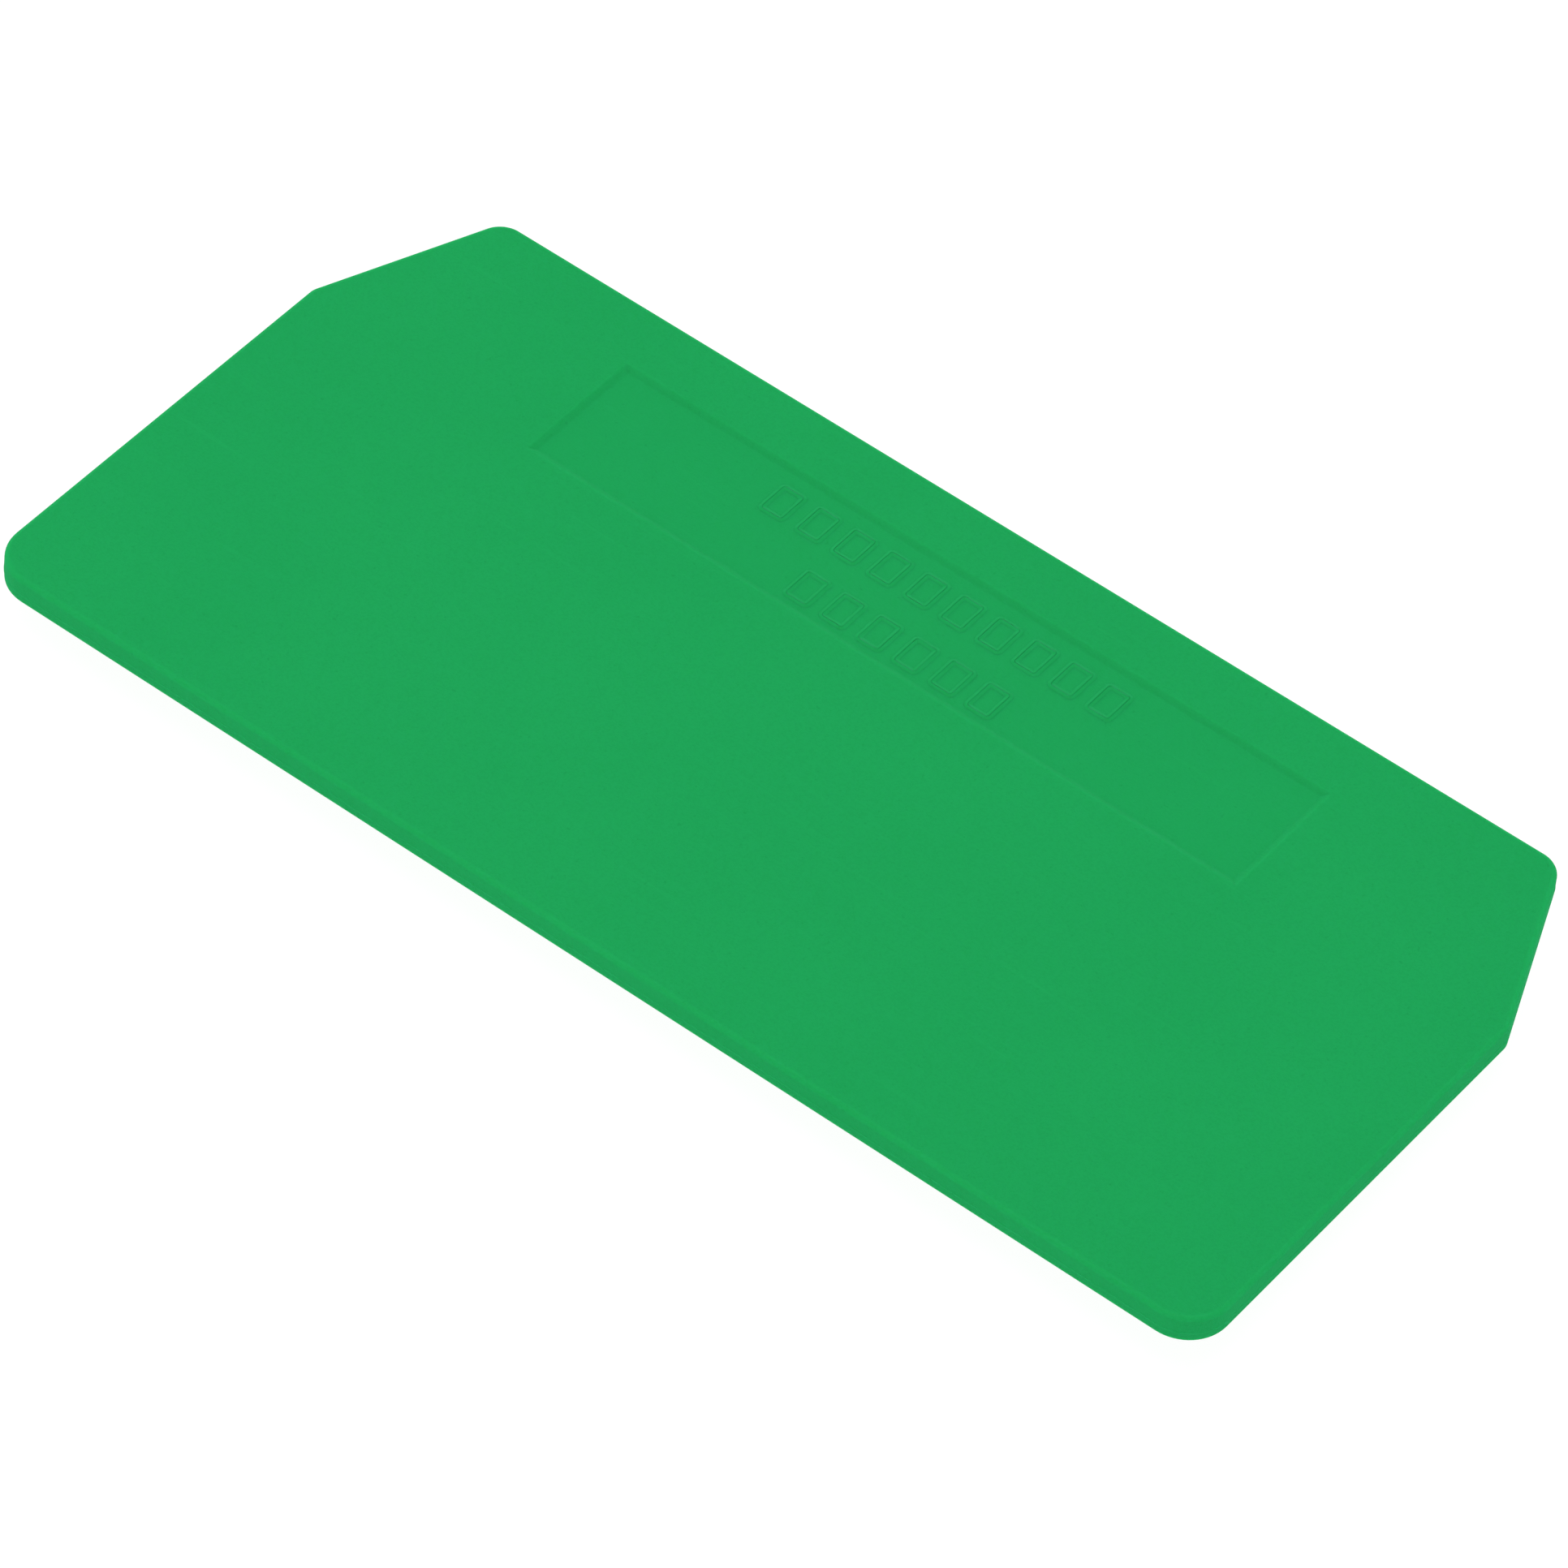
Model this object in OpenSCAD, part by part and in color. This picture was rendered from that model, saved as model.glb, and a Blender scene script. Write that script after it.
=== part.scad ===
// End plate for a row of rail-mounted terminal blocks: one flat moulding that closes the open side
// of the last block. Millimetres. The origin is the middle of the mating plane, +X runs along the
// plate, +Y points to the wiring side, and +Z comes straight out of the label face.

/* [Plate] */
// Length of the plate, across the rail
plate_l = 64.3; // [62:0.1:80]
// Height of the plate, from the rail side to the wiring side
plate_w = 30.6; // [28:0.1:40]
// Thickness of the plate at its edge
plate_t = 1.4; // [1.2:0.1:3]
// Depth by which the inner face is cut back, so that only the shoulder seats
relief = 0.1; // [0.05:0.05:0.2]

/* [Corners] */
// Length of each corner cut, along the plate
cut_l = 3.6; // [2:0.1:6]
// Height of each corner cut, across the plate
cut_w = 8.9; // [6:0.1:10]
// Radius of the two corners at the rail
rail_r = 2.1; // [1.5:0.1:4]
// Radius where a corner cut meets the end edge
end_r = 1.0; // [0.5:0.1:2]
// Radius where a corner cut meets the wiring edge
wiring_r = 1.3; // [1:0.1:3]

/* [Label panel] */
// Length of the sunk panel
panel_l = 38; // [24:0.5:50]
// Height of the sunk panel
panel_w = 6.9; // [6:0.1:8]
// Depth of the sunk panel
panel_d = 0.15; // [0.1:0.05:0.3]
// Edge of the panel nearest the wiring side, measured from that side of the plate
panel_inset = 3.3; // [2.5:0.1:5]

/* [Placeholder marks] */
// Number of marks in the long row
marks_upper = 10; // [4:1:11]
// Number of marks in the short row
marks_lower = 6; // [3:1:11]
// Distance from one mark to the next
mark_pitch = 1.95; // [1.8:0.05:2.1]
// Width of one mark
mark_l = 1.45; // [1.2:0.05:1.6]
// Height of one mark
mark_w = 2; // [1.6:0.1:2.2]
// Width of the line that a mark is drawn with
mark_line = 0.35; // [0.3:0.05:0.5]
// Height by which a mark stands out of the panel's floor
mark_h = 0.1; // [0.05:0.05:0.15]
// Distance between the middles of the two rows
row_pitch = 3.3; // [3:0.1:3.4]
// Distance of the two rows from the middle of the panel, towards the rail side
row_drop = 0.2; // [0:0.05:0.2]

/* [Locating rim] */
// Width of the shoulder between the plate's edge and the rim
shoulder = 1.2; // [1:0.1:1.5]
// Width of the rim
rim_w = 0.8; // [0.6:0.1:1]
// Height of the rim past the mating plane
rim_h = 0.6; // [0.4:0.1:0.8]

/* [Stiffening ribs] */
// Width of a rib
rib_w = 0.8; // [0.6:0.1:1.2]
// Height of a rib past the mating plane, kept below the rim
rib_h = 0.4; // [0.2:0.1:0.4]
// Distance of each cross rib from the middle of the plate
cross_x = 19.5; // [16:0.5:22]

/* [Pegs] */
// Radius of a peg
peg_r = 1.25; // [1:0.05:1.5]
// Length of a peg past the mating plane
peg_len = 2.4; // [1.5:0.1:4]
// Size of the lead-in at a peg's tip
peg_lead = 0.3; // [0.2:0.05:0.4]
// Distance of each peg from the middle of the plate, along it
peg_x = 25.6; // [24:0.1:26]
// Distance of the rail-side pegs from the rail side of the plate
peg_rail = 5; // [4.5:0.1:6]
// Distance of the wiring-side pegs from the wiring side of the plate
peg_wiring = 6.4; // [6:0.1:7]

/* [Hidden] */
$fn = 96;
plastic = [0.125, 0.639, 0.341];

half_l = plate_l / 2;
half_w = plate_w / 2;
// the plate's sharp corners, anticlockwise from the rail side's left end
corners = [
    [-half_l, -half_w],
    [half_l, -half_w],
    [half_l, half_w - cut_w],
    [half_l - cut_l, half_w],
    [-half_l + cut_l, half_w],
    [-half_l, half_w - cut_w]
];
radii = [rail_r, rail_r, end_r, wiring_r, wiring_r, end_r];
count = len(corners);

panel_y = half_w - panel_inset - panel_w / 2;
panel_floor = plate_t - panel_d;
rows_y = panel_y - row_drop;

rim_out = shoulder;
rim_in = shoulder + rim_w;
rib_reach = half_l - rim_in;

// Unit vector from point a to point b
function heading(a, b) = (b - a) / norm(b - a);

// Corner i of the plate's outline moved inwards by d, which keeps each side parallel to itself
function inset_corner(i, d) =
    let (before = heading(corners[(i + count - 1) % count], corners[i]))
    let (after = heading(corners[i], corners[(i + 1) % count]))
    let (turn = cross(before, after))
    corners[i] + (after - before) * d / turn;

function inset_corners(d) = [for (i = [0:count - 1]) inset_corner(i, d)];

// Centre of the arc of radius r that rounds corner i of the points
function arc_centre(points, i, r) =
    let (before = heading(points[(i + count - 1) % count], points[i]))
    let (after = heading(points[i], points[(i + 1) % count]))
    points[i] + (after - before) * r / cross(before, after);

// The two points where that arc meets the sides
function arc_ends(points, i, r) =
    let (before = heading(points[(i + count - 1) % count], points[i]))
    let (after = heading(points[i], points[(i + 1) % count]))
    let (centre = arc_centre(points, i, r))
    [centre + r * [before[1], -before[0]], centre + r * [after[1], -after[0]]];

// The plate's outline moved inwards by d, with rounded corners
module outline(d = 0) {
    points = inset_corners(d);
    r = [for (value = radii) max(value - d, 0.3)];
    ends = [for (i = [0:count - 1]) arc_ends(points, i, r[i])];
    polygon([for (pair = ends) for (point = pair) point]);
    for (i = [0:count - 1])
        translate(arc_centre(points, i, r[i])) circle(r[i]);
}

// The plate, cut back inside its shoulder, with the label panel sunk into its face
module face_plate() {
    color(plastic)
    difference() {
        linear_extrude(plate_t) outline();
        translate([0, 0, -1]) linear_extrude(1 + relief) outline(rim_out);
        translate([-panel_l / 2, panel_y - panel_w / 2, panel_floor])
            cube([panel_l, panel_w, panel_d + 1]);
    }
}

// One upright box drawn with a raised line, in the middle of its own place
module mark() {
    difference() {
        translate([-mark_l / 2, -mark_w / 2, 0]) cube([mark_l, mark_w, mark_h]);
        translate([-mark_l / 2 + mark_line, -mark_w / 2 + mark_line, -1])
            cube([mark_l - 2 * mark_line, mark_w - 2 * mark_line, mark_h + 2]);
    }
}

// A row of n marks, centred on the panel's length
module mark_row(n, y) {
    color(plastic)
    for (i = [0:n - 1])
        translate([(i - (n - 1) / 2) * mark_pitch, y, panel_floor]) mark();
}

module marks_upper_row() {
    mark_row(marks_upper, rows_y + row_pitch / 2);
}

module marks_lower_row() {
    mark_row(marks_lower, rows_y - row_pitch / 2);
}

// The straight run of rim from corner i to the next one, with mitred ends
module rim_side(i) {
    next = (i + 1) % count;
    wall = [
        inset_corner(i, rim_out),
        inset_corner(next, rim_out),
        inset_corner(next, rim_in),
        inset_corner(i, rim_in)
    ];
    color(plastic)
    intersection() {
        translate([0, 0, -rim_h]) linear_extrude(rim_h + relief) polygon(wall);
        translate([0, 0, -rim_h - 1]) linear_extrude(rim_h + 2) outline(rim_out);
    }
}

module rim_rail_side() {
    rim_side(0);
}

module rim_right_end() {
    rim_side(1);
}

module rim_right_corner() {
    rim_side(2);
}

module rim_wiring_side() {
    rim_side(3);
}

module rim_left_corner() {
    rim_side(4);
}

module rim_left_end() {
    rim_side(5);
}

// A rib on the inner face, from one corner of its footprint to the other
module rib(from, to) {
    color(plastic)
    translate([from[0], from[1], -rib_h])
        cube([to[0] - from[0], to[1] - from[1], rib_h + relief]);
}

module rib_spine_left() {
    rib([-rib_reach, -rib_w / 2], [-cross_x - rib_w / 2, rib_w / 2]);
}

module rib_spine_middle() {
    rib([-cross_x + rib_w / 2, -rib_w / 2], [cross_x - rib_w / 2, rib_w / 2]);
}

module rib_spine_right() {
    rib([cross_x + rib_w / 2, -rib_w / 2], [rib_reach, rib_w / 2]);
}

// A rib across the plate at x, from the rim on the rail side to the rim on the wiring side
module cross_rib(x) {
    rib([x - rib_w / 2, -half_w + rim_in], [x + rib_w / 2, half_w - rim_in]);
}

module rib_cross_left() {
    cross_rib(-cross_x);
}

module rib_cross_right() {
    cross_rib(cross_x);
}

// A round peg that presses into the block's housing, with a coned lead-in at its tip
module peg(x, y) {
    color(plastic)
    translate([x, y, relief]) mirror([0, 0, 1]) {
        cylinder(h = peg_len + relief - peg_lead, r = peg_r);
        translate([0, 0, peg_len + relief - peg_lead])
            cylinder(h = peg_lead, r1 = peg_r, r2 = peg_r - peg_lead);
    }
}

module peg_rail_left() {
    peg(-peg_x, -half_w + peg_rail);
}

module peg_rail_right() {
    peg(peg_x, -half_w + peg_rail);
}

module peg_wiring_left() {
    peg(-peg_x, half_w - peg_wiring);
}

module peg_wiring_right() {
    peg(peg_x, half_w - peg_wiring);
}

face_plate();
marks_upper_row();
marks_lower_row();
rim_rail_side();
rim_wiring_side();
rim_left_end();
rim_right_end();
rim_left_corner();
rim_right_corner();
rib_spine_left();
rib_spine_middle();
rib_spine_right();
rib_cross_left();
rib_cross_right();
peg_rail_left();
peg_rail_right();
peg_wiring_left();
peg_wiring_right();
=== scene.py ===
# %% [markdown]
# # End plate for a row of terminal blocks
# This notebook gives a small moulded plate its looks. The plate is a single piece of green
# polyamide, about as long as a matchbox, that closes the open side of the last block on a rail.
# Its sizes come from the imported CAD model, which Blender never moves or resizes. Every surface
# below is worked out with numpy in millimetres and handed to Blender in metres.

import bpy
import numpy as np
from mathutils import Matrix, Vector


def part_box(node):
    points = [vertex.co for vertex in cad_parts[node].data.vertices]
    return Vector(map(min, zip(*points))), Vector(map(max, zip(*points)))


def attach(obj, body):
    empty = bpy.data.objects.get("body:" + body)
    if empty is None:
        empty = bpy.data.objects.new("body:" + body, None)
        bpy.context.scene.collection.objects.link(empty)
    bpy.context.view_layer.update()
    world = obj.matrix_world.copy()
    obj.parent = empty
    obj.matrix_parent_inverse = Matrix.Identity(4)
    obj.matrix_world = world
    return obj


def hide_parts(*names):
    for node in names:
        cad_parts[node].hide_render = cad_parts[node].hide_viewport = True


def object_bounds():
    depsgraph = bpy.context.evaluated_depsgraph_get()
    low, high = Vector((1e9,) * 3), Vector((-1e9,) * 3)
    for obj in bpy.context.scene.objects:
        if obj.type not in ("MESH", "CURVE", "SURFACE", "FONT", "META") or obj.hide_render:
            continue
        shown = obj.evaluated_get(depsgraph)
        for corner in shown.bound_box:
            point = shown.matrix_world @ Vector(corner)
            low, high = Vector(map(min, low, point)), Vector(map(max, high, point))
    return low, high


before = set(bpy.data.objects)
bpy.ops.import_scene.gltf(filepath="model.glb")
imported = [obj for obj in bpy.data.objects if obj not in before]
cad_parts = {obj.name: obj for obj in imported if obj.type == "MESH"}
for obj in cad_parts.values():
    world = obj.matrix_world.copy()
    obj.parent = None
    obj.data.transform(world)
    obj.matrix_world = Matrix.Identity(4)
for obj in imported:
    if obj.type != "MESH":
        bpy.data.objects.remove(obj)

cad_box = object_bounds()
print("CAD nodes:", len(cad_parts), "box:", [tuple(round(x, 5) for x in c) for c in cad_box])

# %% [markdown]
# ## Sizes
# A moulder's drawing is in millimetres, so the sizes here are too. Whatever the CAD nodes can
# tell is read from their boxes. Only a few numbers are left that a box can't give: the corner
# cuts, the corner radii and the length of the label panel.

# %% Read the driving sizes from the frame
MM = 0.001


def box_mm(*nodes):
    """The lowest and highest corner of some CAD nodes taken together, in millimetres."""
    boxes = [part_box(node) for node in nodes]
    low = np.min([np.array(low) for low, high in boxes], axis=0)
    high = np.max([np.array(high) for low, high in boxes], axis=0)
    return low / MM, high / MM


plate_low, plate_high = box_mm("face_plate")
half_l, half_w, plate_t = plate_high
rim_low, rim_high = box_mm("rim_rail_side")
rim_out = rim_low[1] - plate_low[1]
rim_in = rim_high[1] - plate_low[1]
rim_tip = rim_low[2]
floor_z = rim_high[2]
print(f"plate {2 * half_l:.2f} x {2 * half_w:.2f} x {plate_t:.2f} mm")
print(f"rim from {rim_out:.2f} to {rim_in:.2f} mm inside the edge")

# %% Sizes that a box can't give
CUT_L = 3.6
CUT_W = 8.9
RAIL_R = 2.1
END_R = 1.0
WIRING_R = 1.3
PANEL_L = 38.0
PANEL_W = 6.9
PANEL_INSET = 3.3

panel_mid = np.array([0.0, half_w - PANEL_INSET - PANEL_W / 2])
panel_floor = box_mm("marks_upper_row")[0][2]
print(f"label panel {PANEL_L} x {PANEL_W} mm, sunk {plate_t - panel_floor:.2f} mm")

# %% [markdown]
# ## From rings of points to a mesh
# Most moulded shapes are a short profile carried along a line: round the plate's outline, round a
# peg, along a rib. Such a surface is a grid, ring after ring of points. One function joins the
# rings with quads, one closes an end onto a single point, and one puts the result into a mesh.
# Doing this by hand with an extrude tool would be slower and could never be measured back.

# %% Join rings with quads, close ends, and build the object
def ring_quads(rings, closed=False):
    """Quads that join point i of ring j to its neighbours. rings is an array (ring, point, xyz).
    A ring always runs back to its own first point. With closed, the last ring meets the first."""
    ring_count, point_count = rings.shape[:2]
    index = np.arange(ring_count * point_count).reshape(ring_count, point_count)
    if closed:
        index = np.vstack([index, index[:1]])
    beside = np.roll(index, -1, axis=1)
    return np.stack([index[:-1], index[1:], beside[1:], beside[:-1]], axis=-1).reshape(-1, 4)


def closed_surface(rings):
    """A surface closed at both ends: the rings, then one point in the middle of the first ring and
    one in the middle of the last, each joined to its ring by triangles."""
    ring_count, point_count = rings.shape[:2]
    points = np.vstack([rings.reshape(-1, 3), rings[0].mean(axis=0), rings[-1].mean(axis=0)])
    first = np.arange(point_count)
    last = first + (ring_count - 1) * point_count
    start = np.full(point_count, ring_count * point_count)
    fan_in = np.column_stack([start, first, np.roll(first, -1)])
    fan_out = np.column_stack([last, start + 1, np.roll(last, -1)])
    return points, [ring_quads(rings), fan_in, fan_out]


def tube_surface(rings):
    """A surface like a picture frame: each ring runs round, and the last ring meets the first."""
    return rings.reshape(-1, 3), [ring_quads(rings, closed=True)]


def repeat_surface(surface, places):
    """The same surface at several places, which are (x, y) shifts in millimetres."""
    points, faces = surface
    shifts = np.column_stack([places, np.zeros(len(places))])
    all_points = (points[None] + shifts[:, None]).reshape(-1, 3)
    steps = np.arange(len(places)) * len(points)
    return all_points, [(f[None] + steps[:, None, None]).reshape(-1, f.shape[1]) for f in faces]


def make_piece(name, surface, wear_and_highlight=None, polished=None):
    """A mesh object from points in millimetres and lists of faces. The last two arguments are numbers
    from 0 to 1 for each point, which the material reads as attributes: the first marks edges painted
    paler, partly as wear and partly as a painted highlight, and the second marks polished patches."""
    points, faces = surface
    mesh = bpy.data.meshes.new(name)
    mesh.from_pydata((points * MM).tolist(), [], [f for block in faces for f in block.tolist()])
    mesh.polygons.foreach_set("use_smooth", np.ones(len(mesh.polygons), bool))
    for label, values in (("wear_and_highlight", wear_and_highlight), ("polished", polished)):
        attribute = mesh.attributes.new(label, "FLOAT", "POINT")
        full = np.zeros(len(points), np.float32)
        if values is not None:
            full[: len(values)] = values
        attribute.data.foreach_set("value", full)
    mesh.validate()
    mesh.update()
    piece = bpy.data.objects.new(name, mesh)
    bpy.context.scene.collection.objects.link(piece)
    triangles = sum(len(p.vertices) - 2 for p in mesh.polygons)
    print(f"{name}: {len(mesh.vertices)} points, {triangles} triangles")
    return piece


HOLD = 0.1


def softened(corners, radii, steps=5):
    """A profile whose inner corners are rounded. An arc's middle lies on the line that halves the
    corner, its radius over the sine of half the angle away. The arc runs between the two tangent
    points, and one more point just past each end keeps the flats beside it flat."""
    corners = np.array(corners, float)
    radii = np.array(radii, float)[:, None]
    corner = corners[1:-1]
    to_last = corners[:-2] - corner
    to_next = corners[2:] - corner
    to_last /= np.linalg.norm(to_last, axis=1)[:, None]
    to_next /= np.linalg.norm(to_next, axis=1)[:, None]
    half = np.arccos((to_last * to_next).sum(axis=1))[:, None] / 2
    middle = corner + (to_last + to_next) / (2 * np.cos(half)) * radii / np.sin(half)
    first = corner + to_last * radii / np.tan(half) - middle
    last = corner + to_next * radii / np.tan(half) - middle
    share = np.linspace(0, 1, steps + 1)[None, :, None]
    sweep = (np.pi - 2 * half)[:, None]
    arcs = (np.sin((1 - share) * sweep) * first[:, None] + np.sin(share * sweep) * last[:, None])
    arcs = middle[:, None] + arcs / np.sin(sweep)
    before = arcs[:, :1] + HOLD * radii[:, None] * to_last[:, None]
    after = arcs[:, -1:] + HOLD * radii[:, None] * to_next[:, None]
    rounded = np.concatenate([before, arcs, after], axis=1).reshape(-1, 2)
    return np.vstack([corners[:1], rounded, corners[-1:]])


# %% [markdown]
# ## The outline
# Six straight sides with a round corner between each pair. A corner's arc is its middle plus its
# radius times a turning unit normal. A point on a straight run keeps the normal still and slides
# from one arc's end to the next arc's start. The outline moved inwards keeps the same points, so
# two outlines at different insets can be joined point by point.

# %% The outline as a function of its inset
ARC_STEPS = 16
RUN_SPACING = 0.8
LEAST_R = 0.3

corners = np.array([
    [-half_l, -half_w],
    [half_l, -half_w],
    [half_l, half_w - CUT_W],
    [half_l - CUT_L, half_w],
    [-half_l + CUT_L, half_w],
    [-half_l, half_w - CUT_W],
])
corner_r = np.array([RAIL_R, RAIL_R, END_R, WIRING_R, WIRING_R, END_R])
sides = np.roll(corners, -1, axis=0) - corners
side_l = np.linalg.norm(sides, axis=1)
after = sides / side_l[:, None]
before = np.roll(after, 1, axis=0)
sine = before[:, 0] * after[:, 1] - before[:, 1] * after[:, 0]
turn = np.arctan2(sine, (before * after).sum(axis=1))
inward = (after - before) / sine[:, None]
first_angle = np.arctan2(-before[:, 0], before[:, 1])

run_counts = np.ceil(side_l / RUN_SPACING).astype(int)
at_corner = np.concatenate([np.full(ARC_STEPS + run_counts[i], i) for i in range(6)])
arc_share = np.concatenate([
    np.append(np.linspace(0, 1, ARC_STEPS + 1), np.ones(n - 1)) for n in run_counts
])
run_share = np.concatenate([
    np.append(np.zeros(ARC_STEPS + 1), np.arange(1, n) / n) for n in run_counts
])
normal_angle = first_angle[at_corner] + arc_share * turn[at_corner]
normals = np.column_stack([np.cos(normal_angle), np.sin(normal_angle)])


def outline(inset):
    """The plate's outline moved inwards by inset: each corner's arc is its middle plus the radius
    times the normal, and a straight run goes evenly from one arc to the next."""
    r = np.maximum(corner_r - inset, LEAST_R)
    middles = corners + inward * (inset + r)[:, None]
    following = (at_corner + 1) % len(corners)
    here = middles[at_corner] + r[at_corner, None] * normals
    there = middles[following] + r[following, None] * normals
    return here + (there - here) * run_share[:, None]


def round_the_outline(profile):
    """Rings (ring, point, xyz) from a profile of (inset, height) pairs carried round the outline."""
    flat = np.stack([outline(inset) for inset in profile[:, 0]])
    height = np.broadcast_to(profile[:, 1, None, None], flat.shape[:2] + (1,))
    return np.concatenate([flat, height], axis=2)


print("outline points:", len(at_corner))

# %% [markdown]
# ## The label panel's rectangle
# The face has to pass from the plate's outline to the panel's rectangle without a seam, so the
# rectangle gets as many points as the outline. Each lies where the line from the panel's middle to
# the outline's point meets the rectangle. Near each corner, a few points move onto a small arc.

# %% The panel's rectangle as a function of how far it grows
PANEL_CORNER_R = 0.12
CORNER_POINTS = 5

rays = outline(0) - panel_mid
ray_angle = np.arctan2(rays[:, 1], rays[:, 0])
ray_unit = rays / np.linalg.norm(rays, axis=1)[:, None]
signs = np.array([[1, 1], [-1, 1], [-1, -1], [1, -1]])


def rays_near(sign):
    """The indices of the few outline points whose rays pass closest to one corner of the panel."""
    target = np.arctan2(sign[1] * PANEL_W, sign[0] * PANEL_L)
    gap = np.angle(np.exp(1j * (ray_angle - target)))
    nearest = np.argmin(np.abs(gap))
    return (nearest + np.arange(CORNER_POINTS) - CORNER_POINTS // 2) % len(gap)


corner_rays = [rays_near(sign) for sign in signs]


def panel_loop(grow):
    """The panel's rectangle made larger by grow on each side. A point is the middle plus the ray
    times the smaller of half-length over |x| and half-width over |y|; corners are quarter circles."""
    half = np.array([PANEL_L, PANEL_W]) / 2 + grow
    r = max(PANEL_CORNER_R + grow, 0.04)
    reach = np.min(half / np.maximum(np.abs(ray_unit), 1e-9), axis=1)
    loop = ray_unit * reach[:, None]
    for quarter, (sign, rows) in enumerate(zip(signs, corner_rays)):
        middle = sign * (half - r)
        angle = np.radians(90) * (quarter + np.linspace(0, 1, CORNER_POINTS))
        loop[rows] = middle + r * np.column_stack([np.cos(angle), np.sin(angle)])
    return panel_mid + loop


def with_height(loop, height):
    """A flat loop of points put at one height."""
    return np.column_stack([loop, np.full(len(loop), height)])


print("rays turned onto the panel's corners:", len(corner_rays) * CORNER_POINTS)

# %% [markdown]
# ## The plate's skin
# On the real plate the two halves of the mould meet on the narrow edge, and the edge leans in by a
# hair's breadth on both sides of that line so that the plate comes out. The face meets the edge in
# a small radius that catches the light. All of it is one surface: it starts in the middle of the
# panel, climbs the panel's wall, crosses the face, rounds the edge and comes back underneath. A
# bevelled box would give the same outline, but neither the draft nor the line where the mould parts.
# The panel is so shallow that its wall leans like a beach, and only a soft line gives it away.

# %% Build the skin from the panel's middle to the middle of the inner face
FACE_R = 0.22
DRAFT = 0.03
PARTING_Z = 0.5
FLASH = 0.012
FOOT_R = 0.12
WALL_R = 0.3
WALL_LEAN = np.radians(65)
WALL_BORDER = 0.1
LINE_HALF = 0.015
LINE_FOOT = 0.04

wall_run = (plate_t - panel_floor) * np.tan(WALL_LEAN)
panel_profile = softened([
    [-wall_run - WALL_BORDER, panel_floor], [-wall_run, panel_floor],
    [0, plate_t], [WALL_BORDER, plate_t],
], [WALL_R, WALL_R])
edge_profile = softened([
    [DRAFT + 2 * FACE_R, plate_t], [DRAFT, plate_t],
    [FLASH, PARTING_Z + LINE_FOOT], [0, PARTING_Z + LINE_HALF],
    [0, PARTING_Z - LINE_HALF], [FLASH, PARTING_Z - LINE_FOOT],
    [DRAFT, 0], [rim_out + 0.3, 0], [rim_out + 0.4, floor_z], [rim_in + 1, floor_z],
], [FACE_R, 0.01, 0.005, 0.005, 0.01, FOOT_R, 0.02, 0.02])


def between(first, last, shares):
    """Rings part of the way from one ring to another: the first plus a share of the difference."""
    return first + (last - first) * np.array(shares)[:, None, None]


wall_rings = np.stack([with_height(panel_loop(grow), height) for grow, height in panel_profile])
edge_rings = round_the_outline(edge_profile)
panel_centre = np.append(panel_mid, panel_floor)
inner_centre = np.array([0, 0, floor_z])
skin_parts = {
    "panel floor": between(panel_centre, wall_rings[0], (0.02, 0.3, 0.6, 0.85)),
    "panel wall": wall_rings,
    "face": between(wall_rings[-1], edge_rings[0], (0.05, 0.25, 0.5, 0.75, 0.95)),
    "edge": edge_rings,
    "inner face": between(edge_rings[-1], inner_centre, (0.15, 0.4, 0.65, 0.9)),
}
skin_rings = np.concatenate(list(skin_parts.values()))
print({part: len(rings) for part, rings in skin_parts.items()}, "rings of", skin_rings.shape[1])

# %% Say where the skin goes paler, as wear and painted highlight, and where it is polished, then make it
# Painted highlight and wear: the face's rounded edge and the top of the panel's wall are marked to go
# paler.
wear_and_highlight_rings = {part: np.zeros(len(rings)) for part, rings in skin_parts.items()}
near_face = edge_profile[:, 1] > plate_t - 0.75 * FACE_R
near_edge = edge_profile[:, 0] < DRAFT + FACE_R
wear_and_highlight_rings["edge"] = near_face & near_edge
wear_and_highlight_rings["panel wall"] = (np.abs(panel_profile[:, 0]) < 0.06) * 0.5
polished = [np.full(len(rings), part == "panel floor") for part, rings in skin_parts.items()]
polished[1] = wall_rings[:, 0, 2] < (plate_t + panel_floor) / 2
skin_wear_and_highlight = np.repeat(np.concatenate(list(wear_and_highlight_rings.values())), skin_rings.shape[1])
skin_polished = np.repeat(np.concatenate(polished).astype(float), skin_rings.shape[1])
plate_skin = make_piece("plate_skin", closed_surface(skin_rings), skin_wear_and_highlight, skin_polished)

# %% [markdown]
# ## The locating rim
# Inside the shoulder a low rim runs all the way round and drops into the open side of the block.
# Its outer edge has a generous round that guides it in, and its roots are filleted because melted
# plastic doesn't like a sharp inner corner. The same outline function carries it, 1.2 mm further in.
# Its feet run straight down into the plate, so that no two surfaces lie in one plane and flicker.

# %% Carry the rim's profile round the outline
ROOT_R = 0.12
GUIDE_R = 0.22
TIP_R = 0.08
BURIED = 0.5
PROUD = 0.002
FOOT_SHARE = 1.15
FOOT_EDGE_R = 0.003
OUTER_DRAFT = 0.01
INNER_DRAFT = 0.03

foot = FOOT_SHARE * ROOT_R
rim_profile = softened([
    [rim_out - foot, BURIED], [rim_out - foot, -PROUD], [rim_out, -PROUD],
    [rim_out + OUTER_DRAFT, rim_tip], [rim_in - INNER_DRAFT, rim_tip],
    [rim_in, floor_z - PROUD], [rim_in + foot, floor_z - PROUD], [rim_in + foot, BURIED],
], [FOOT_EDGE_R, ROOT_R, GUIDE_R, TIP_R, ROOT_R, FOOT_EDGE_R])
rim_rings = round_the_outline(rim_profile)
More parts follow.
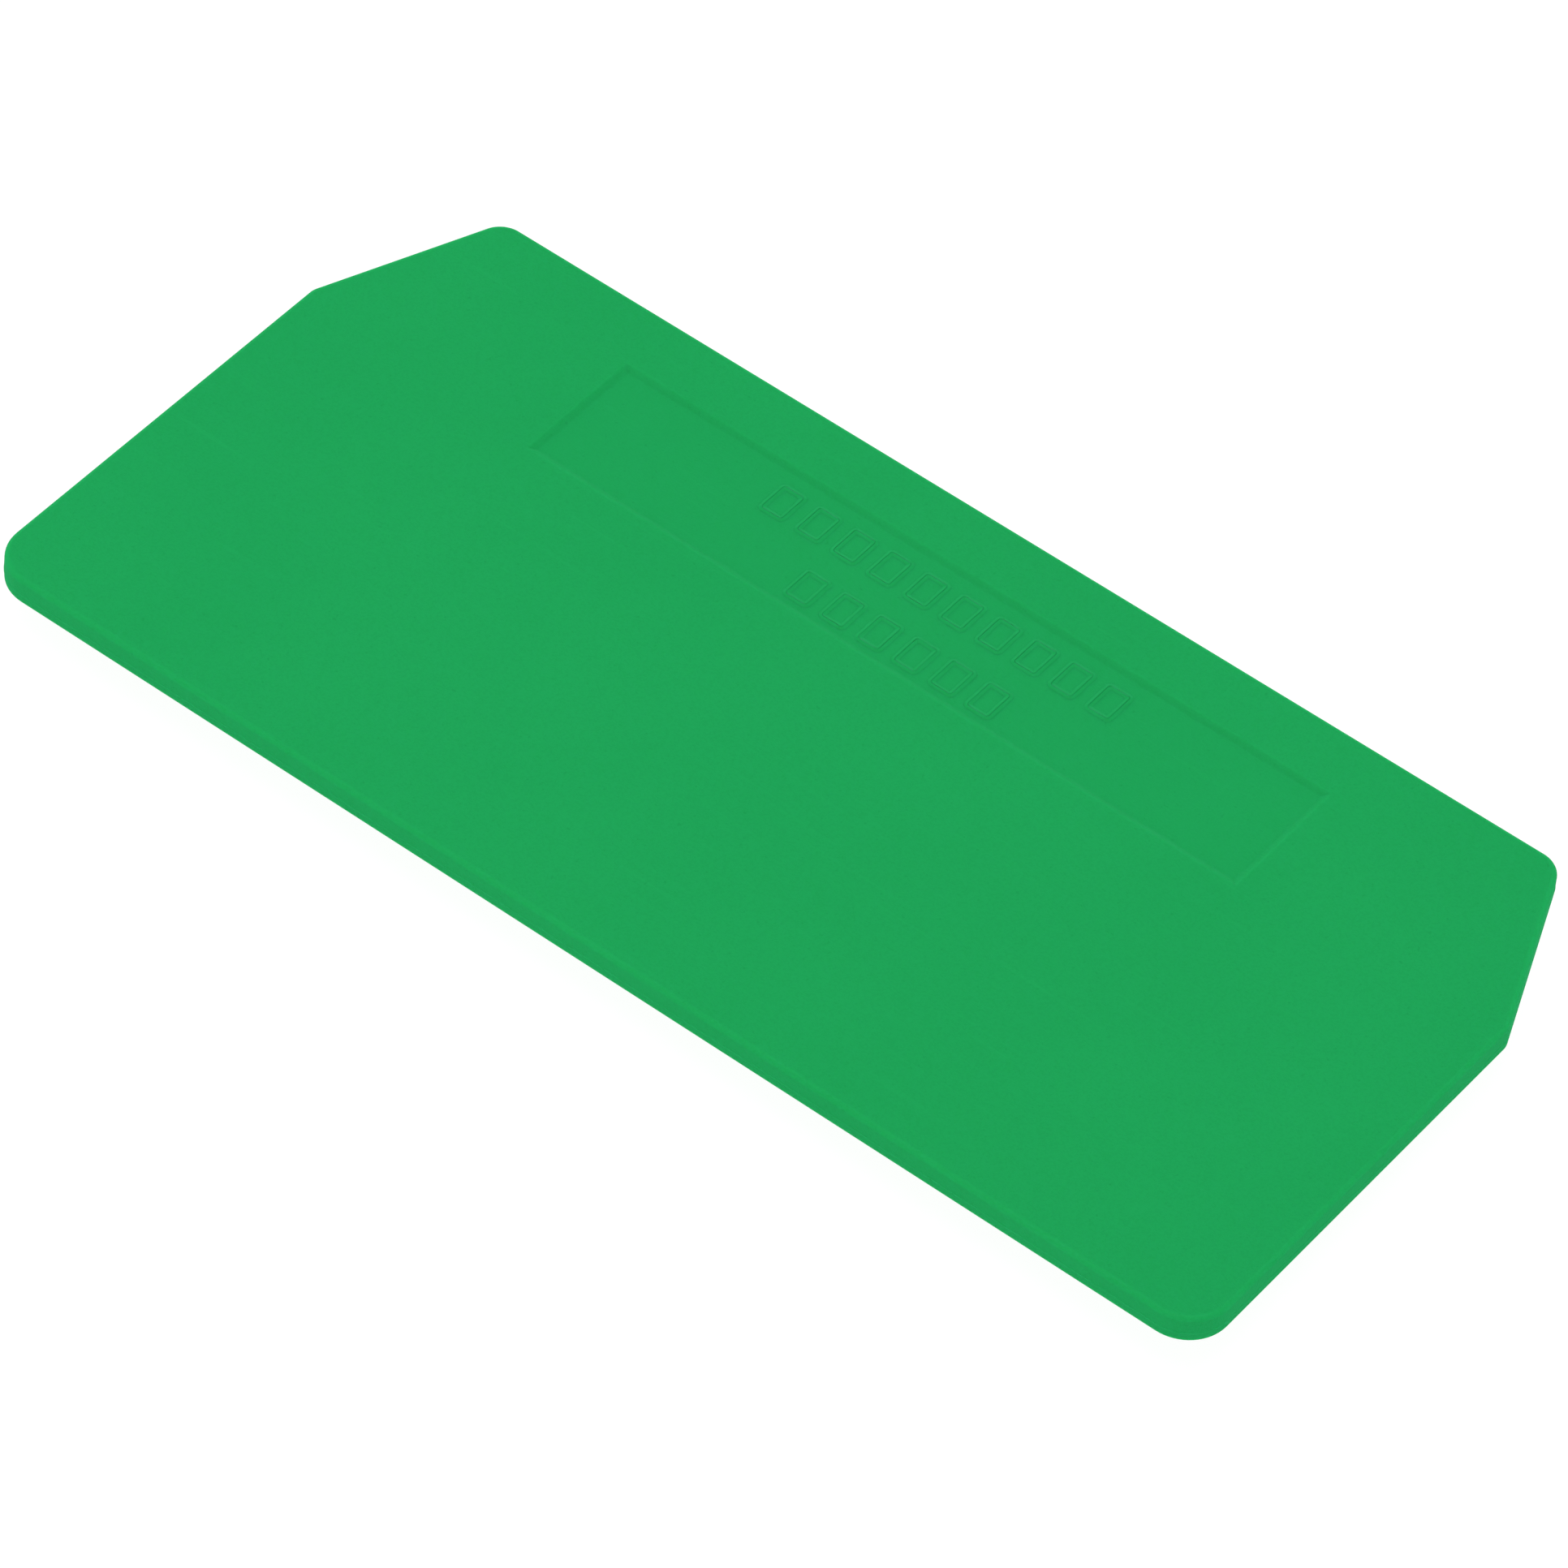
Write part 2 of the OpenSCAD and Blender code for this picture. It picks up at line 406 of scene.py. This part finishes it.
# The rim's tip edge goes paler too, partly as wear and partly as a painted highlight.
rim_wear_and_highlight = np.repeat((rim_profile[:, 1] < rim_tip + 0.1).astype(float), rim_rings.shape[1])
locating_rim = make_piece("locating_rim", tube_surface(rim_rings), rim_wear_and_highlight)

# %% [markdown]
# ## The stiffening ribs
# A flat moulding this thin would bow as it cools, so low ribs cross its inner side: one long spine
# and one shorter rib across it near each end. A rib's section is carried along a straight line, and
# its ends run into the rim, where they can't be seen. The cross ribs stand a hair lower than the
# spine, so that the tips don't share a plane where they meet.

# %% Carry a rib's section along a straight line
RIB_ROOT_R = 0.18
RIB_TIP_R = 0.12
RIB_DRAFT = 0.03
RIB_STATIONS = 25
RIB_REACH = 0.3
CROSS_LOWER = 0.02


def rib_section(half_width, tip_z):
    """A rib's closed section as (sideways, height): down one side, across the tip and up the other,
    with a fillet at each root and a small radius at each tip corner."""
    foot, foot_z = half_width + FOOT_SHARE * RIB_ROOT_R, floor_z - PROUD
    waist = half_width - RIB_DRAFT
    return softened([
        [foot, BURIED], [foot, foot_z], [half_width, foot_z], [waist, tip_z],
        [-waist, tip_z], [-half_width, foot_z], [-foot, foot_z], [-foot, BURIED],
    ], [FOOT_EDGE_R, RIB_ROOT_R, RIB_TIP_R, RIB_TIP_R, RIB_ROOT_R, FOOT_EDGE_R])


def make_rib(name, start, end, half_width, tip_z):
    """A rib from start to end: each ring is the section set across the line at one station."""
    start, end = np.array(start, float), np.array(end, float)
    along = (end - start) / np.linalg.norm(end - start)
    across = np.array([-along[1], along[0]])
    section = rib_section(half_width, tip_z)
    stations = start + (end - start) * np.linspace(0, 1, RIB_STATIONS)[:, None]
    flat = stations[:, None] + section[None, :, :1] * across
    height = np.broadcast_to(section[None, :, 1:], flat.shape[:2] + (1,))
    rings = np.concatenate([flat, height], axis=2)
    # The rib's tip edges go paler, partly as wear and partly as a painted highlight.
    wear_and_highlight = np.tile(section[:, 1] < tip_z + 0.05, len(stations)).astype(float)
    return make_piece(name, closed_surface(rings), wear_and_highlight)


spine_nodes = ("rib_spine_left", "rib_spine_middle", "rib_spine_right")
spine_low, spine_high = box_mm(*spine_nodes)
rib_spine = make_rib(
    "rib_spine", [spine_low[0] - RIB_REACH, 0], [spine_high[0] + RIB_REACH, 0],
    spine_high[1], spine_low[2]
)
cross_ribs = {}
for node in ("rib_cross_left", "rib_cross_right"):
    low, high = box_mm(node)
    x, half_width = (low[0] + high[0]) / 2, (high[0] - low[0]) / 2
    cross_ribs[node] = make_rib(
        node.replace("rib_cross", "cross_rib"),
        [x, low[1] - RIB_REACH], [x, high[1] + RIB_REACH], half_width, low[2] + CROSS_LOWER
    )

# %% [markdown]
# ## The pegs
# Four round pegs press into holes in the block's housing and hold the plate on. A peg is turned: a
# profile of radius and height goes once round the peg's own middle. It starts buried in the plate,
# flares at the root, narrows a little towards the tip, and ends in a cone with a shallow dimple
# where the ejector pin pushed it out of the mould.

# %% Turn a profile round a centre
TURN_STEPS = 64
PEG_ROOT_R = 0.3
PEG_DRAFT = 0.015
PEG_LEAD = 0.3
DIMPLE_R = 0.62
DIMPLE_DEPTH = 0.05


def turned(profile, centre):
    """A surface of revolution: each (radius, height) pair becomes a circle round the centre."""
    angle = np.arange(TURN_STEPS) / TURN_STEPS * 2 * np.pi
    circle = np.column_stack([np.cos(angle), np.sin(angle)])
    flat = np.asarray(centre) + profile[:, :1, None] * circle
    height = np.broadcast_to(profile[:, 1, None, None], flat.shape[:2] + (1,))
    return np.concatenate([flat, height], axis=2)


def peg_profile(r, tip_z):
    """Radius and height down a peg: buried end, root fillet, drafted wall, cone, tip and dimple."""
    foot = r + FOOT_SHARE * PEG_ROOT_R
    return softened([
        [foot, BURIED], [foot, floor_z - PROUD], [r, floor_z - PROUD],
        [r - PEG_DRAFT, tip_z + PEG_LEAD], [r - PEG_LEAD, tip_z],
        [DIMPLE_R, tip_z], [DIMPLE_R - 0.08, tip_z + DIMPLE_DEPTH], [0.05, tip_z + DIMPLE_DEPTH],
    ], [FOOT_EDGE_R, PEG_ROOT_R, 0.1, 0.08, 0.03, 0.04])


pegs = {}
for node in ("peg_rail_left", "peg_rail_right", "peg_wiring_left", "peg_wiring_right"):
    low, high = box_mm(node)
    centre, r = (low[:2] + high[:2]) / 2, (high[0] - low[0]) / 2
    profile = peg_profile(r, low[2])
    rings = turned(profile, centre)
    # The peg's tip edge goes paler, partly as wear and partly as a painted highlight.
    tip_edge = (profile[:, 1] < low[2] + PEG_LEAD + 0.1) & (profile[:, 0] > 0.7)
    wear_and_highlight = np.repeat(tip_edge.astype(float), TURN_STEPS)
    pegs[node] = make_piece(node.replace("peg_", "press_peg_"), closed_surface(rings), wear_and_highlight)

# %% [markdown]
# ## The raised marks
# A maker would mould a name here. This plate carries plain upright boxes instead, two rows of them,
# centred on the panel. A mark is a small frame: its section is carried round a rectangle with round
# corners, and one frame is repeated along each row. Plastic never quite fills such fine engraving,
# so the marks stay low and soft, with long slopes and hardly any flat on top.

# %% Carry a mark's section round a small rectangle
MARK_PITCH = 1.95
MARK_L = 1.45
MARK_LINE = 0.35
MARK_R = 0.3
MARK_SLOPE = 0.15
MARK_RISE = 0.055
MARK_TOP_R = 0.12
MARK_FOOT_R = 0.01
MARK_ARC_STEPS = 6


def mark_loop(half, r):
    """A rectangle with quarter-circle corners: each corner's middle plus r times (cos, sin)."""
    angle = np.radians(90) * (np.arange(4)[:, None] + np.linspace(0, 1, MARK_ARC_STEPS + 1))
    middles = signs * (np.asarray(half) - r)
    arcs = middles[:, None] + r * np.stack([np.cos(angle), np.sin(angle)], axis=-1)
    return arcs.reshape(-1, 2)


def mark_surface(half, top_z):
    """One mark: its section goes from the inner foot over the top to the outer foot, and each
    (inset, height) pair of it becomes a rounded rectangle that much smaller."""
    section = softened([
        [MARK_LINE, panel_floor - BURIED], [MARK_LINE, panel_floor], [MARK_LINE - MARK_SLOPE, top_z],
        [MARK_SLOPE, top_z], [0, panel_floor], [0, panel_floor - BURIED],
    ], [MARK_FOOT_R, MARK_TOP_R, MARK_TOP_R, MARK_FOOT_R], steps=3)
    rings = [with_height(mark_loop(half - d, max(MARK_R - d, 0.06)), z) for d, z in section]
    surface = tube_surface(np.stack(rings))
    # The mark's top goes paler, partly as wear and partly as a painted highlight.
    wear_and_highlight = np.repeat((section[:, 1] > top_z - 0.02).astype(float), len(rings[0]))
    return surface, wear_and_highlight


mark_rows = {}
for node in ("marks_upper_row", "marks_lower_row"):
    low, high = box_mm(node)
    count = round((high[0] - low[0] - MARK_L) / MARK_PITCH) + 1
    x = (np.arange(count) - (count - 1) / 2) * MARK_PITCH
    places = np.column_stack([x, np.full(count, (low[1] + high[1]) / 2)])
    surface, wear_and_highlight = mark_surface(np.array([MARK_L, high[1] - low[1]]) / 2, panel_floor + MARK_RISE)
    mark_rows[node] = make_piece(
        node.replace("marks_", "raised_marks_"), repeat_surface(surface, places), np.tile(wear_and_highlight, count)
    )

# %% [markdown]
# ## Traces of the mould
# Turn a moulded part over and it tells how it was made. Round witness marks show where ejector
# pins pushed, and a small torn stub shows where the plastic came in. They are thin turned discs set
# into the inner face, a few hundredths of a millimetre proud, so they are geometry and not paint.

# %% Ejector pin marks and the gate's stub
PIN_R = 1.5
GATE_R = 0.9
PIN_PLACES = np.array([
    [-11.5, 6.9], [11.5, 6.9], [-11.5, -6.9], [11.5, -6.9], [-25.6, -4.0], [25.6, -4.0],
])
GATE_PLACE = np.array([[0.0, -6.9]])

pin_profile = softened([
    [PIN_R, BURIED], [PIN_R, floor_z - 0.04], [PIN_R - 0.1, floor_z - 0.01], [0.1, floor_z - 0.01],
], [0.012, 0.03], steps=3)
pin_surface = closed_surface(turned(pin_profile, [0, 0]))
ejector_marks = make_piece("ejector_marks", repeat_surface(pin_surface, PIN_PLACES))

gate_profile = softened([
    [GATE_R, BURIED], [GATE_R, floor_z - 0.045], [GATE_R - 0.2, floor_z - 0.035], [0.5, floor_z - 0.01],
    [0.42, floor_z - 0.03], [0.36, floor_z - 0.22], [0.22, floor_z - 0.24], [0.08, floor_z - 0.2],
], [0.012, 0.05, 0.04, 0.04, 0.04, 0.04])
gate_rings = turned(gate_profile, GATE_PLACE[0])
gate_angle = np.arange(TURN_STEPS) / TURN_STEPS * 2 * np.pi
tear = 0.03 * np.sin(3 * gate_angle + 0.6)
tear += 0.018 * np.sin(7 * gate_angle)
tear += 0.01 * np.sin(13 * gate_angle)
torn_share = np.clip((floor_z - 0.1 - gate_profile[:, 1]) / 0.14, 0, 1) * gate_profile[:, 0] / 0.36
gate_rings[:, :, 2] += tear * torn_share[:, None]
gate_stub = make_piece("gate_stub", closed_surface(gate_rings))

# %% [markdown]
# ## Writing shader sums in Python
# A procedural material is arithmetic on patterns. Wiring each sum by hand hides the idea, so one
# small class wraps a socket: adding or multiplying two of them puts in the Math node, and one
# method puts in any other node.

# %% A socket that can be added and multiplied
class Shade:
    """One output socket of a material's node tree."""

    def __init__(self, tree, socket=None):
        self.tree = tree
        self.socket = socket

    def node(self, kind, settings=None, inputs=None, output=0):
        """Adds a node of this type, sets its settings, then fills or links its inputs, and wraps
        one of its outputs. The stops of a ramp are given as {position: value}."""
        new = self.tree.nodes.new(kind)
        settings = dict(settings or {})
        stops = settings.pop("stops", None)
        for name, value in settings.items():
            setattr(new, name, value)
        if stops:
            ramp = new.color_ramp
            for element, position in zip(ramp.elements, (min(stops), max(stops))):
                element.position = position
            for position in sorted(stops)[1:-1]:
                ramp.elements.new(position)
            for element, position in zip(ramp.elements, sorted(stops)):
                element.color = (stops[position],) * 3 + (1,)
        for key, value in (inputs or {}).items():
            if isinstance(value, Shade):
                self.tree.links.new(value.socket, new.inputs[key])
            else:
                new.inputs[key].default_value = value
        return Shade(self.tree, new.outputs[output])

    def math(self, operation, *terms):
        """A Math node on one, two or three terms."""
        return self.node("ShaderNodeMath", {"operation": operation}, dict(enumerate(terms)))

    def __add__(self, other):
        return self.math("ADD", self, other)

    def __sub__(self, other):
        return self.math("SUBTRACT", self, other)

    def __rsub__(self, other):
        return self.math("SUBTRACT", other, self)

    def __mul__(self, other):
        return self.math("MULTIPLY", self, other)

    __radd__ = __add__
    __rmul__ = __mul__

    def steps(self, low, high):
        """0 below low, 1 above high, and a smooth change between."""
        inputs = {"Value": self, "From Min": low, "From Max": high}
        return self.node("ShaderNodeMapRange", {"interpolation_type": "SMOOTHSTEP"}, inputs)

    def noise(self, scale, detail=2.0, stretch=None, turned_by=0.0, rough=0.5):
        """Noise of this many cells to the metre on a place, which can be stretched and turned."""
        place = self
        if stretch:
            inputs = {"Vector": self, "Rotation": (0, 0, turned_by), "Scale": stretch}
            place = self.node("ShaderNodeMapping", {}, inputs)
        inputs = {"Vector": place, "Scale": scale, "Detail": detail, "Roughness": rough}
        return self.node("ShaderNodeTexNoise", {}, inputs)

    def mix(self, first, second):
        """From the first colour to the second, by this share."""
        settings = {"data_type": "RGBA", "clamp_factor": True}
        inputs = {0: self, 6: first, 7: second}
        return self.node("ShaderNodeMix", settings, inputs, output=2)


# %% [markdown]
# ## Moulded polyamide
# The mould's face is finished with sparks, which leaves a fine, even grain that the plastic copies.
# The grain's hollows are also painted a little darker, as shade.
# Up close the colour isn't one green either. The pigment clouds a little where the melt flowed, a
# few specks are darker, edges go a shade paler, partly as wear and partly as a painted highlight
# along the rounded edges, and hair-fine rubs break up the sheen.
# Light also seeps a few tenths of a millimetre into the plastic, which softens every small edge.
# One function makes this finish. Its numbers set how coarse and how rough a piece's copy of it is,
# and how far the light seeps: hardly at all in the marks, which are too thin to hold it.

# %% The green finish
GREEN = (0.0125, 0.364, 0.0985, 1)
DEEP_GREEN = (0.0113, 0.347, 0.0930, 1)
# The palest green serves real rubs and wear, and a highlight painted along the edges.
PALE_WEAR_AND_HIGHLIGHT_GREEN = (0.0155, 0.400, 0.1105, 1)
# The darkest green serves both real dark specks and the shade painted into the grain's hollows.
SPECK_AND_PIT_SHADE_GREEN = (0.0085, 0.288, 0.0735, 1)
GRAIN_CELLS = 9000
FLECK_CELLS = 5200
WEAR_AND_HIGHLIGHT_CELLS = 900
WAVE_CELLS = 210
PATCH_CELLS = 160
RUB_CELLS = 90
CLOUD_CELLS = 85
WAVE_HEIGHT = 0.004
SHEEN = 0.014
SEEP_COLOURS = (0.7, 1.0, 0.8)
RUB_STRETCHES = ((1, 34, 1, 0.5), (1, 46, 1, -0.35), (1, 40, 1, 1.9))


def moulded_finish(name, grain_height, pit_shade_amount, base_rough, seep=0.4):
    """A material for moulded polyamide. Base colour is green mixed with cloud, painted shade in the
    grain's hollows, flecks, and an edge mask that is partly wear and partly painted highlight;
    roughness is its base plus grain and rubs; height is grain plus a slow waviness."""
    material = bpy.data.materials.new(name)
    material.use_nodes = True
    tree = material.node_tree
    shader = tree.nodes["Principled BSDF"]
    start = Shade(tree)
    place = start.node("ShaderNodeTexCoord", output="Object")
    wear_and_highlight = start.node("ShaderNodeAttribute", {"attribute_name": "wear_and_highlight"}, output="Fac")
    polished = start.node("ShaderNodeAttribute", {"attribute_name": "polished"}, output="Fac")

    grain = place.noise(GRAIN_CELLS, detail=3, rough=0.6)
    # Painted shade: where the grain is low, its hollows are darkened in the colour.
    pit_shade = 1 - grain.steps(0.38, 0.56)
    cloud = place.noise(CLOUD_CELLS, detail=4).steps(0.35, 0.65)
    fleck = place.noise(FLECK_CELLS, detail=1).steps(0.7, 0.78)
    rub = sum(
        place.noise(RUB_CELLS, detail=1, stretch=s[:3], turned_by=s[3]).steps(0.685, 0.7)
        for s in RUB_STRETCHES
    )
    patch = place.noise(PATCH_CELLS, detail=2).steps(0.45, 0.6)
    # Painted highlight and wear: marked edges turn paler and a little glossier, broken up by noise.
    edge_wear_and_highlight = wear_and_highlight * (0.35 + 0.65 * place.noise(WEAR_AND_HIGHLIGHT_CELLS, detail=3))

    colour = (cloud * 0.45).mix(GREEN, DEEP_GREEN)
    colour = (pit_shade * pit_shade_amount).mix(colour, SPECK_AND_PIT_SHADE_GREEN)
    colour = (polished * 0.35).mix(colour, DEEP_GREEN)
    colour = (fleck * 0.4).mix(colour, SPECK_AND_PIT_SHADE_GREEN)
    colour = (edge_wear_and_highlight * 0.3 + rub * patch * 0.12).mix(colour, PALE_WEAR_AND_HIGHLIGHT_GREEN)

    wave = place.noise(WAVE_CELLS, detail=1)
    rough = base_rough + 0.12 * (grain - 0.5) - 0.06 * edge_wear_and_highlight + 0.05 * rub * patch - 0.05 * polished
    bump = {"Strength": 1.0, "Distance": grain_height * MM, "Height": grain}
    fine = start.node("ShaderNodeBump", {}, bump)
    bump = {"Strength": 1.0, "Distance": WAVE_HEIGHT * MM, "Height": wave, "Normal": fine}
    relief = start.node("ShaderNodeBump", {}, bump)
    for socket, value in (("Base Color", colour), ("Roughness", rough), ("Normal", relief)):
        tree.links.new(value.socket, shader.inputs[socket])
    shader.inputs["IOR"].default_value = 1.53
    shader.inputs["Specular IOR Level"].default_value = SHEEN
    shader.inputs["Subsurface Weight"].default_value = 0.8
    shader.inputs["Subsurface Radius"].default_value = SEEP_COLOURS
    shader.inputs["Subsurface Scale"].default_value = seep * MM
    print(f"{name}: {len(tree.nodes)} nodes")
    return material


skin_finish = moulded_finish("spark_eroded_green", 0.016, pit_shade_amount=0.19, base_rough=0.5)
drawn_finish = moulded_finish("draw_polished_green", 0.012, pit_shade_amount=0.2, base_rough=0.42)
mark_finish = moulded_finish("mark_green", 0.008, pit_shade_amount=0.1, base_rough=0.4, seep=0.05)

# %% [markdown]
# ## Dressing the frame
# Each new piece hides the CAD nodes it stands for, where it has any, and is parented to the body it
# moves with. The plate has no joints, so there is the one body, "root". The pegs, the rim and the ribs
# come from a polished part of the mould, so they get the smoother finish.

# %% Give each piece its finish and its body, and hide the CAD nodes it stands for
RIM_NODES = (
    "rim_rail_side", "rim_wiring_side", "rim_left_end",
    "rim_right_end", "rim_left_corner", "rim_right_corner",
)
dressed = [
    (plate_skin, skin_finish, ("face_plate",)),
    (locating_rim, drawn_finish, RIM_NODES),
    (rib_spine, drawn_finish, spine_nodes),
    (ejector_marks, drawn_finish, ()),
    (gate_stub, drawn_finish, ()),
]
dressed += [(piece, drawn_finish, (node,)) for node, piece in cross_ribs.items()]
dressed += [(piece, drawn_finish, (node,)) for node, piece in pegs.items()]
dressed += [(piece, mark_finish, (node,)) for node, piece in mark_rows.items()]
for piece, finish, nodes in dressed:
    piece.data.materials.append(finish)
    if nodes:
        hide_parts(*nodes)
    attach(piece, "root")
print("dressed pieces:", len(dressed))

# %% [markdown]
# ## A light table and soft boxes
# Small plastic parts are usually shown on a light table, a pale sheet that glows a little, because
# it lifts the narrow edges and keeps the shadow faint. The table is only seen from above, so the
# plate's inner side can be looked at from below. It is also kept out of mirror-like reflections,
# where a whole white table would grey the narrow edges, and so the sky is dark below the horizon.
# Two soft boxes and the pale upper sky do the rest.

# %% The table
TABLE_HALF = 900.0
TABLE_GLOW = 0.95
TABLE_LINES = 21
UNDER_PEGS = 0.02
table_z = cad_box[0][2] / MM - UNDER_PEGS

grid = np.linspace(-TABLE_HALF, TABLE_HALF, TABLE_LINES)
table_points = np.stack(np.meshgrid(grid, grid), axis=-1).reshape(-1, 2)
cell = np.arange(TABLE_LINES * TABLE_LINES).reshape(TABLE_LINES, TABLE_LINES)
table_faces = np.stack([cell[:-1, :-1], cell[:-1, 1:], cell[1:, 1:], cell[1:, :-1]], axis=-1)
table = make_piece("light_table", (with_height(table_points, table_z), [table_faces.reshape(-1, 4)]))

sheet_finish = bpy.data.materials.new("glowing_sheet")
sheet_finish.use_nodes = True
sheet_tree = sheet_finish.node_tree
sheet_start = Shade(sheet_tree)
sheet_shader = sheet_tree.nodes["Principled BSDF"]
sheet_shader.inputs["Base Color"].default_value = (0.1, 0.1, 0.1, 1)
sheet_shader.inputs["Roughness"].default_value = 0.9
sheet_shader.inputs["Specular IOR Level"].default_value = 0.1
sheet_shader.inputs["Emission Color"].default_value = (1, 1, 1, 1)
sheet_shader.inputs["Emission Strength"].default_value = TABLE_GLOW
under = sheet_start.node("ShaderNodeNewGeometry", output="Backfacing")
clear = sheet_start.node("ShaderNodeBsdfTransparent")
lit = Shade(sheet_tree, sheet_shader.outputs[0])
one_sided = sheet_start.node("ShaderNodeMixShader", {}, {0: under, 1: lit, 2: clear})
sheet_tree.links.new(one_sided.socket, sheet_tree.nodes["Material Output"].inputs["Surface"])
table.data.materials.append(sheet_finish)
table.visible_glossy = False

# %% The sky and the soft boxes
SKY_STOPS = {0.47: 0.2, 0.5: 0.78, 0.62: 0.75, 0.95: 0.52}

world = bpy.data.worlds.new("studio")
bpy.context.scene.world = world
world.use_nodes = True
sky = Shade(world.node_tree)
direction = sky.node("ShaderNodeTexCoord", output="Generated")
height = sky.node("ShaderNodeSeparateXYZ", {}, {"Vector": direction}, output="Z")
shade_of_sky = sky.node("ShaderNodeValToRGB", {"stops": SKY_STOPS}, {"Fac": height * 0.5 + 0.5})
world.node_tree.links.new(shade_of_sky.socket, world.node_tree.nodes["Background"].inputs["Color"])


def soft_box(name, place, size, power):
    """A square area light that looks at the plate's middle."""
    light = bpy.data.lights.new(name, "AREA")
    light.size = size
    light.energy = power
    lamp = bpy.data.objects.new(name, light)
    lamp.location = place
    lamp.rotation_euler = (-Vector(place)).to_track_quat("-Z", "Y").to_euler()
    bpy.context.scene.collection.objects.link(lamp)
    print(f"{name}: {power} W")
    return lamp


soft_box("overhead_box", (0.0, -0.1, 0.92), 0.6, 4.2)
soft_box("fill_box", (-0.1, -0.5, 0.6), 0.5, 0.35)

# %% [markdown]
# ## The camera
# A long lens from well away keeps the plate's sides almost parallel, as product shots do. Its place
# is given as an azimuth and elevation round a point near the plate's middle, and the camera leans
# over a little, which sets the plate on a slant in the frame.

# %% Aim the camera
AIM = np.array([0.59, -1.74, -0.16])
AZIMUTH, ELEVATION, TILT = np.radians([33.68, 47.69, 5.85])
DISTANCE = 395.2
LENS = 215.8

back = np.array([
    np.sin(AZIMUTH) * np.cos(ELEVATION), -np.cos(AZIMUTH) * np.cos(ELEVATION), np.sin(ELEVATION)
])
level_right = np.array([np.cos(AZIMUTH), np.sin(AZIMUTH), 0])
level_up = np.cross(back, level_right)
right = level_right * np.cos(TILT) + level_up * np.sin(TILT)
up = np.cross(back, right)
turned_to = Matrix([list(row) for row in np.column_stack([right, up, back])]).to_4x4()

camera = bpy.data.objects.new("camera", bpy.data.cameras.new("camera"))
camera.data.lens = LENS
camera.data.sensor_width = 36
camera.data.clip_start = 0.01
camera.matrix_world = Matrix.Translation(Vector((AIM + DISTANCE * back) * MM)) @ turned_to
bpy.context.scene.collection.objects.link(camera)
bpy.context.scene.camera = camera
bpy.context.scene.view_settings.view_transform = "Standard"
print("camera at", [round(x, 4) for x in camera.location], "m")
